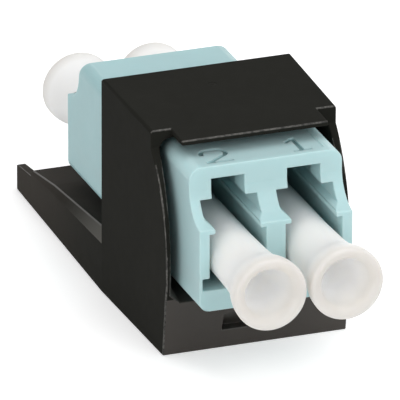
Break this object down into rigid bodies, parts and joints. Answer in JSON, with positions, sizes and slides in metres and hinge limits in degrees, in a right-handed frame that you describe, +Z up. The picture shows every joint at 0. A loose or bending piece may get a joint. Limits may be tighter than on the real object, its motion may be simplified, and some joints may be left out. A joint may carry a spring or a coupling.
{
  "type": "fibre adapter module",
  "caption": "Snap-in module holding a duplex LC fibre adapter, with a long rear latch arm and a removable flared dust cap in each port.",
  "frame": {"origin": "centre of the bounding box's underside, on the flat face it stands on", "axes": "-Y out of the front ports, +Y along the latch arm, +X to the right seen from the front, +Z up"},
  "size_m": [0.0158, 0.0476, 0.0182],
  "materials": {
    "housing_black": "fine satin moulding",
    "adapter_aqua": "semi-gloss moulding",
    "sleeve_ceramic": "polished ceramic",
    "cap_white": "soft translucent moulding"
  },
  "bodies": {
    "adapter_module": {"module_housing": "housing_black", "adapter_front_half": "adapter_aqua", "adapter_rear_half": "adapter_aqua", "split_sleeve_left": "sleeve_ceramic", "split_sleeve_right": "sleeve_ceramic"},
    "dust_cap_front_left": {"dust_cap_front_left": "cap_white"},
    "dust_cap_front_right": {"dust_cap_front_right": "cap_white"},
    "dust_cap_rear_left": {"dust_cap_rear_left": "cap_white"},
    "dust_cap_rear_right": {"dust_cap_rear_right": "cap_white"}
  },
  "joints": [
    {"name": "dust_cap_front_left_pull", "type": "slide", "parent": "adapter_module", "child": "dust_cap_front_left", "axis": [0, -1, 0], "range_m": [0, 0.014]},
    {"name": "dust_cap_front_right_pull", "type": "slide", "parent": "adapter_module", "child": "dust_cap_front_right", "axis": [0, -1, 0], "range_m": [0, 0.014]},
    {"name": "dust_cap_rear_left_pull", "type": "slide", "parent": "adapter_module", "child": "dust_cap_rear_left", "axis": [0, 1, 0], "range_m": [0, 0.015]},
    {"name": "dust_cap_rear_right_pull", "type": "slide", "parent": "adapter_module", "child": "dust_cap_rear_right", "axis": [0, 1, 0], "range_m": [0, 0.015]}
  ]
}
